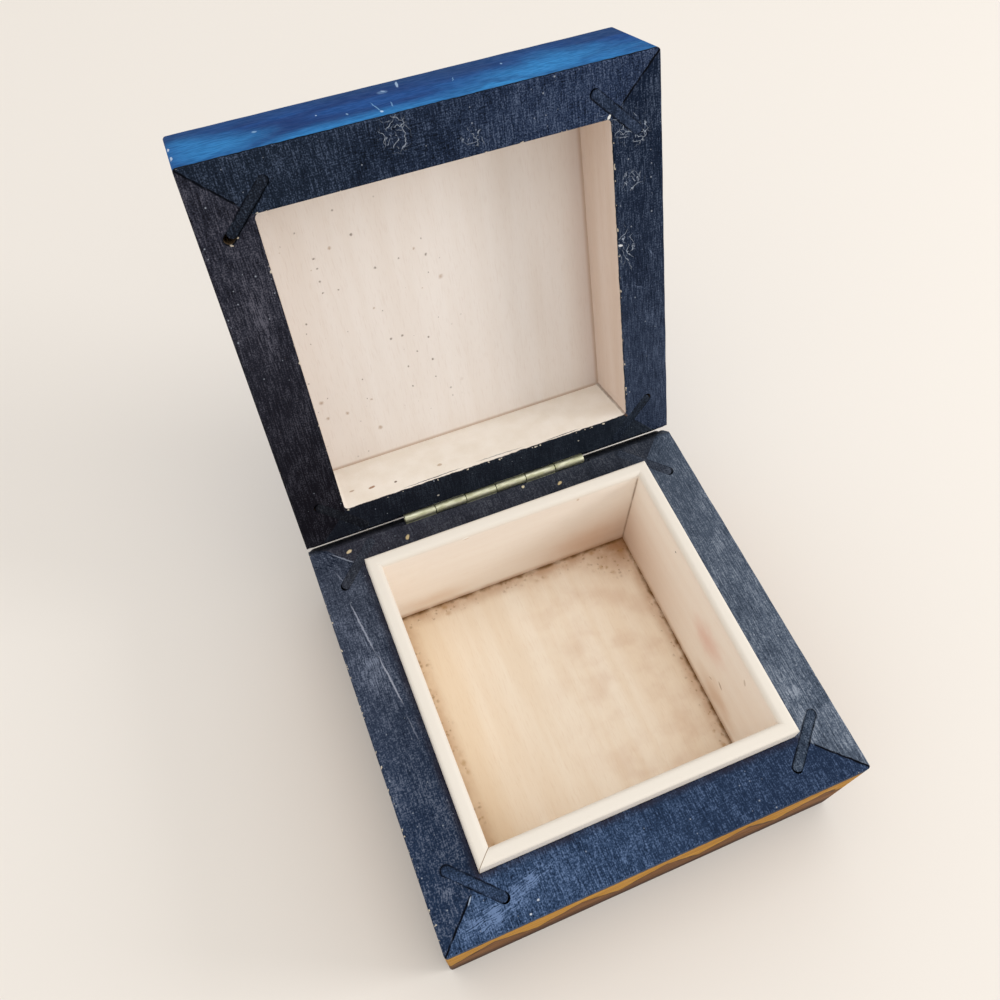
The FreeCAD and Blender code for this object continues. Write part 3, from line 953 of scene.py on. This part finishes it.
def slice_rail(mesh, shell, along):
    """Cuts a rail into strips: along its arrises and mitres for their rounding, and across its length."""
    offsets = [shell.half - share * arris_round for share in arris_cuts]
    offsets += [shell.half - share * back_corner_round for share in corner_cuts]
    offsets += [shell.inside + share * inner_round for share in arris_cuts]
    offsets += [shell.inside - share * shell.fillet for share in corner_cuts if shell.fillet]
    for offset in offsets:
        for axis in (Vector((1, 0, 0)), Vector((0, 1, 0))):
            slice_through(mesh, axis, offset)
            slice_through(mesh, axis, -offset)
    for share in arris_cuts:
        slice_through(mesh, Vector((0, 0, 1)), shell.contact + shell.into * share * arris_round)
        slice_through(mesh, Vector((0, 0, 1)), shell.contact + shell.into * share * inner_round)
        slice_through(mesh, Vector((0, 0, 1)), shell.far - shell.into * share * arris_round)
    for diagonal in (Vector((1, 1, 0)), Vector((1, -1, 0))):
        for sign in (-1, 1):
            slice_through(mesh, diagonal.normalized(), sign * mitre_groove)
    count = int(shell.half / wear_step)
    for number in range(-count, count + 1):
        slice_through(mesh, along, number * wear_step)


def sanded(point, shell):
    """Where a point of a rail lies once arrises are rounded, mitres open and the opening is filleted."""
    corner_round = back_corner_round if point.y > 0 else front_corner_round
    radius = arris_round * (1 + arris_spread * noise.noise(point / wear_length))
    flat = Vector((abs(point.x), abs(point.y)))
    plan = flat.copy()
    reach, lesser = max(flat), min(flat)
    on_mitre = reach - lesser < touching
    core = shell.half - corner_round
    outward = Vector((1.0, 0.0)) if flat.x > flat.y else Vector((0.0, 1.0))
    if lesser > core:
        over = flat - Vector((core, core))
        outward = over.normalized()
        plan = Vector((core, core)) + outward * max(over)
    inset = shell.half - reach
    rise = 0.0
    for face, into in ((shell.contact, shell.into), (shell.far, -shell.into)):
        section = Vector((radius - inset, radius - (point.z - face) * into))
        if min(section) > 0 and section.length > radius:
            eased = section * (radius / section.length)
            plan -= outward * (section.x - eased.x)
            rise += into * (section.y - eased.y)
    across = reach - shell.inside
    deep = (point.z - shell.contact) * shell.into
    if -touching < across < inner_round and deep < inner_round:
        section = Vector((inner_round - across, inner_round - deep))
        if section.length > inner_round:
            eased = section * (inner_round / section.length)
            for axis in (0, 1):
                if flat[axis] > reach - touching:
                    plan[axis] += section.x - eased.x
            rise += shell.into * (section.y - eased.y)
    if abs(across) < touching and lesser > shell.inside - shell.fillet:
        angle = math.pi / 4 * (1 - (shell.inside - lesser) / shell.fillet)
        nearer = shell.fillet * (1 - math.cos(angle))
        slid = shell.inside - shell.fillet * (1 - math.sin(angle)) - lesser
        for axis in (0, 1):
            plan[axis] += -nearer if flat[axis] > reach - touching else slid
    if on_mitre and deep < touching and inset < mitre_seen:
        rise += shell.into * mitre_groove * (1.0 if point.y < 0 else filled_mitre_share)
    if on_mitre and inset < touching:
        plan -= outward * mitre_groove / 2
    return Vector((math.copysign(plan.x, point.x), math.copysign(plan.y, point.y), point.z + rise))


def sanded_rail(node_name, shell, side):
    """One rail of a frame, sanded."""
    mesh = solid_copy(node_name, shell.shut)
    along = Vector((1, 0, 0)) if side in ("front", "back") else Vector((0, 1, 0))
    slice_rail(mesh, shell, along)
    for vertex in mesh.verts:
        vertex.co = sanded(vertex.co, shell)
    bmesh.ops.transform(mesh, matrix=shell.shut.inverted(), verts=mesh.verts)
    return mesh


def eased_copy(node_name, shut):
    """Copy of a solid with its sharp edges eased by a few strokes of sandpaper."""
    mesh = solid_copy(node_name, shut)
    bmesh.ops.dissolve_limit(mesh, angle_limit=math.radians(1), verts=mesh.verts, edges=mesh.edges)
    sharp = [edge for edge in mesh.edges if edge.calc_face_angle(0) > smooth_below]
    bmesh.ops.bevel(mesh, geom=sharp, offset=piece_round, segments=2, profile=0.5, affect="EDGES",
                    clamp_overlap=True)
    return mesh


def laid_key(node_name, shell):
    """One key as it lies in its slot."""
    mesh = eased_copy(node_name, shell.shut)
    slide, lift, paint = key_lies[node_name]
    low, high = extent([vertex.co for vertex in mesh.verts])
    middle = (low + high) / 2
    outward = Vector((math.copysign(1, middle.x), math.copysign(1, middle.y), 0)).normalized()
    for vertex in mesh.verts:
        vertex.co += outward * math.copysign(paint, outward.dot(vertex.co - middle))
    bmesh.ops.translate(mesh, vec=outward * slide - Vector((0, 0, shell.into * lift)), verts=mesh.verts)
    bmesh.ops.transform(mesh, matrix=shell.shut.inverted(), verts=mesh.verts)
    return mesh


def liner_section(low, high):
    """Section of a liner board: distance in from its outside, and height."""
    thickness = high.y - low.y
    top = high.z
    near_top = top - 1.6 * liner_inner_round
    section = [(0, low.z), (0, near_top)]
    corners = (
        (liner_outer_round, liner_outer_round, math.pi),
        (thickness - liner_inner_round, liner_inner_round, math.pi / 2),
    )
    for centre, radius, start in corners:
        for step in range(liner_arc_steps + 1):
            angle = start - step * math.pi / 2 / liner_arc_steps
            height = top + radius * (math.sin(angle) - 1)
            section.append((centre + radius * math.cos(angle), height))
    section += [(thickness, near_top), (thickness, low.z)]
    return section


def liner_board(side):
    """One liner board with rounded top edges and mitred ends, drawn at the front, turned to its side."""
    low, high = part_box("liner_front")
    outer = -low.y
    section = liner_section(low, high)
    mesh = bmesh.new()
    rings = []
    for number in range(liner_rings + 1):
        share = 2 * number / liner_rings - 1
        ring = []
        for across, height in section:
            reach = outer - across
            point = Vector((share * reach, -reach, height))
            if height > low.z:
                point.z -= liner_unevenness * (1 + noise.noise(point / liner_wave))
            ring.append(mesh.verts.new(point))
        rings.append(ring)
    count = len(section)
    for first, second in zip(rings, rings[1:]):
        for i in range(count):
            mesh.faces.new((first[i], first[(i + 1) % count], second[(i + 1) % count], second[i]))
    mesh.faces.new(rings[0])
    mesh.faces.new(reversed(rings[-1]))
    bmesh.ops.recalc_face_normals(mesh, faces=mesh.faces)
    turn = Matrix.Rotation(SIDES.index(side) * math.pi / 2, 4, "Z")
    bmesh.ops.transform(mesh, matrix=turn, verts=mesh.verts)
    return mesh


def knuckle_tree(material):
    """Geometry nodes: a row of short tubes along X with eased ends."""
    tree = bpy.data.node_groups.new("hinge_knuckles", "GeometryNodeTree")
    for name in ("Barrel Radius", "Bore Radius", "Length", "Ease", "First", "Step"):
        tree.interface.new_socket(name=name, in_out="INPUT", socket_type="NodeSocketFloat")
    tree.interface.new_socket(name="Count", in_out="INPUT", socket_type="NodeSocketInt")
    tree.interface.new_socket(name="Axis", in_out="INPUT", socket_type="NodeSocketVector")
    tree.interface.new_socket(name="Geometry", in_out="OUTPUT", socket_type="NodeSocketGeometry")
    add = partial(node, tree)
    given = tree.nodes.new("NodeGroupInput").outputs
    wall = add("SUBTRACT", given["Barrel Radius"], given["Bore Radius"])
    both = add("ADD", given["Barrel Radius"], given["Bore Radius"])
    middle = add("MULTIPLY", both, 0.5)
    path = add("GeometryNodeCurvePrimitiveCircle", named={"Resolution": knuckle_facets, "Radius": middle})
    section = add("GeometryNodeCurvePrimitiveQuadrilateral",
                  named={"Width": wall, "Height": given["Length"]})
    eased = add("GeometryNodeFilletCurve", named={"Curve": section, "Count": 3, "Radius": given["Ease"],
                                                  "Limit Radius": True}, mode="POLY")
    tube = add("GeometryNodeCurveToMesh", named={"Curve": path, "Profile Curve": eased})
    first = add("ShaderNodeCombineXYZ", given["First"])
    start = add("ShaderNodeVectorMath", given["Axis"], first, operation="ADD")
    step = add("ShaderNodeCombineXYZ", given["Step"])
    row = add("GeometryNodeMeshLine", named={"Count": given["Count"], "Start Location": start,
                                             "Offset": step})
    placed = add("GeometryNodeInstanceOnPoints", named={"Points": row, "Instance": tube,
                                                        "Rotation": (0.0, math.pi / 2, 0.0)})
    real = add("GeometryNodeRealizeInstances", placed)
    finished = add("GeometryNodeSetMaterial", named={"Geometry": real, "Material": material})
    add("NodeGroupOutput", finished)
    return tree


def knuckle_mesh(tree, values):
    """Plain mesh of one leaf's knuckles, from the values of the tree's inputs."""
    carrier = bpy.data.objects.new("knuckle_carrier", bpy.data.meshes.new("knuckle_carrier"))
    bpy.context.scene.collection.objects.link(carrier)
    modifier = carrier.modifiers.new("knuckles", "NODES")
    modifier.node_group = tree
    for socket in tree.interface.items_tree:
        if socket.in_out == "INPUT":
            modifier[socket.identifier] = values[socket.name]
    evaluated = carrier.evaluated_get(bpy.context.evaluated_depsgraph_get())
    data = bpy.data.meshes.new_from_object(evaluated)
    carrier.modifiers.remove(modifier)
    bpy.data.objects.remove(carrier)
    mesh = bmesh.new()
    mesh.from_mesh(data)
    return mesh


def add_block(mesh, placing, low, high):
    """Adds a box between two corners of a placed frame."""
    size = Vector(high) - Vector(low)
    middle = (Vector(low) + Vector(high)) / 2
    matrix = placing @ Matrix.Translation(middle) @ Matrix.Diagonal((*size, 1.0))
    bmesh.ops.create_cube(mesh, size=1.0, matrix=matrix)


def hinge_leaf(tree, node_name, first_knuckle):
    """One leaf: its plate in the saw kerf, the necks of its knuckles and the knuckles themselves."""
    low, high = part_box(node_name)
    pin_low, pin_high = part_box("hinge_pin")
    barrel_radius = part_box("hinge_base_leaf")[1].y - hinge_line.y
    bore_radius = (pin_high.y - pin_low.y) / 2 + pin_play
    pitch = (high.x - low.x) / knuckle_count
    length = pitch - knuckle_gap
    middle = low.x + (first_knuckle + 0.5) * pitch
    mesh = knuckle_mesh(tree, {
        "Barrel Radius": barrel_radius, "Bore Radius": bore_radius, "Length": length,
        "Ease": knuckle_round, "First": middle, "Step": 2 * pitch, "Count": knuckle_count // 2,
        "Axis": (0.0, hinge_line.y, hinge_line.z),
    })
    away = [vertex.co - hinge_line for vertex in frame["nodes"][node_name].data.vertices]
    spans = [Vector((0.0, offset.y, offset.z)) for offset in away]
    longest = max(span.length for span in spans)
    tip = [span for span in spans if span.length > tip_share * longest]
    direction = sum(tip, Vector()).normalized()
    thickness = 2 * max(abs(direction.cross(span).x) for span in tip)
    reach = max(span.dot(direction) for span in tip)
    turn = math.atan2(direction.z, direction.y)
    placing = Matrix.Translation((0.0, hinge_line.y, hinge_line.z)) @ Matrix.Rotation(turn, 4, "X")
    plate_start = plate_from_barrel * barrel_radius
    add_block(mesh, placing, (low.x, plate_start, -thickness / 2), (high.x, reach, thickness / 2))
    neck_start = (barrel_radius + bore_radius) / 2
    for number in range(knuckle_count // 2):
        start = middle + 2 * number * pitch - length / 2
        neck_end = (start + length, plate_start, thickness / 2)
        add_block(mesh, placing, (start, neck_start, -thickness / 2), neck_end)
    return mesh


def pin_rod():
    """Hinge pin with eased ends."""
    low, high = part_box("hinge_pin")
    radius = (high.y - low.y) / 2
    mesh = bmesh.new()
    lay = Matrix.Translation((low + high) / 2) @ Matrix.Rotation(math.pi / 2, 4, "Y")
    bmesh.ops.create_cone(mesh, cap_ends=True, segments=knuckle_facets, radius1=radius, radius2=radius,
                          depth=high.x - low.x, matrix=lay)
    rims = [edge for edge in mesh.edges if edge.calc_face_angle(0) > smooth_below]
    bmesh.ops.bevel(mesh, geom=rims, offset=knuckle_round, segments=3, profile=0.5, affect="EDGES")
    return mesh


def build_box():
    """Every piece of the box in its finish."""
    for shell, slot in ((base, "ochre_painted_wood"), (lid, "blue_painted_wood")):
        for side, name in zip(SIDES, shell.rails):
            show(f"{name}_painted", sanded_rail(name, shell, side), shell.body, [name],
                 painted_rail(name, shell, side))
        for corner in CORNERS:
            name = f"{shell.body}_key_{corner}"
            show(f"{name}_painted", laid_key(name, shell), shell.body, [name],
                 painted_key(name, shell))
    show("lid_panel_painted", eased_copy("lid_panel", as_drawn), "lid", ["lid_panel"],
         painted_panel("bare_and_blue_linden_panel"))
    show("floor_panel_bare", eased_copy("floor_panel", as_drawn), "base", ["floor_panel"],
         floor_wood("bare_linden_floor"))
    lining = {"X": lining_wood("bare_linden_along_x", "X"), "Y": lining_wood("bare_linden_along_y", "Y")}
    for side in SIDES:
        grain = "X" if side in ("front", "back") else "Y"
        name = f"liner_{side}"
        show(f"{name}_bare", liner_board(side), "base", [name], lining[grain])
    brass = hinge_brass("drawn_brass")
    tree = knuckle_tree(brass)
    for body, first in (("base", 0), ("lid", 1)):
        name = f"hinge_{body}_leaf"
        show(f"{name}_brass", hinge_leaf(tree, name, first), body, [name], brass)
    show("hinge_pin_brass", pin_rod(), "base", ["hinge_pin"], brass)


# Studio


def studio_floor():
    """Pale plain floor."""
    data = bpy.data.meshes.new("studio_floor")
    mesh = bmesh.new()
    bmesh.ops.create_grid(mesh, x_segments=1, y_segments=1, size=studio_size,
                          matrix=Matrix.Translation((0, 0, base.far - studio_drop)))
    mesh.to_mesh(data)
    mesh.free()
    material, _, shader = new_finish("pale_studio_floor")
    shader.inputs["Base Color"].default_value = linear("#e6e1da")
    shader.inputs["Roughness"].default_value = studio_roughness
    shader.inputs["Specular IOR Level"].default_value = studio_shine
    data.materials.append(material)
    floor = bpy.data.objects.new("studio_floor", data)
    bpy.context.scene.collection.objects.link(floor)


def softbox(name, place, target, size, power):
    """Square soft light."""
    lamp = bpy.data.lights.new(name, "AREA")
    lamp.shape = "SQUARE"
    lamp.size = size
    lamp.energy = power
    carrier = bpy.data.objects.new(name, lamp)
    carrier.location = place
    carrier.rotation_euler = (Vector(target) - Vector(place)).to_track_quat("-Z", "Y").to_euler()
    bpy.context.scene.collection.objects.link(carrier)


def light_studio():
    """Soft light from all round and above, with a window-like box low on the right."""
    world = bpy.data.worlds.new("studio")
    world.use_nodes = True
    background = world.node_tree.nodes.get("Background")
    background.inputs["Color"].default_value = linear("#f4f1ee")
    background.inputs["Strength"].default_value = sky_strength
    bpy.context.scene.world = world
    softbox("overhead_softbox", place=(0.0, 0.0, 1.1), target=(0.0, 0.0, 0.0), size=0.9, power=2.3)
    softbox("window_softbox", place=(0.95, -0.35, 0.5), target=(0.0, 0.0, 0.03), size=0.35, power=4.2)


def aim_camera():
    """Camera where the photograph was taken from."""
    lens = bpy.data.cameras.new("camera")
    lens.lens = camera_lens
    lens.shift_y = -axis_above_middle
    lens.clip_start = 0.01
    camera = bpy.data.objects.new("camera", lens)
    turn = (camera_target - camera_place).to_track_quat("-Z", "Y") @ Quaternion((0, 0, 1), camera_roll)
    camera.location = camera_place
    camera.rotation_euler = turn.to_euler()
    bpy.context.scene.collection.objects.link(camera)
    bpy.context.scene.camera = camera


build_box()
studio_floor()
light_studio()
aim_camera()
bpy.context.scene.view_settings.view_transform = "Standard"
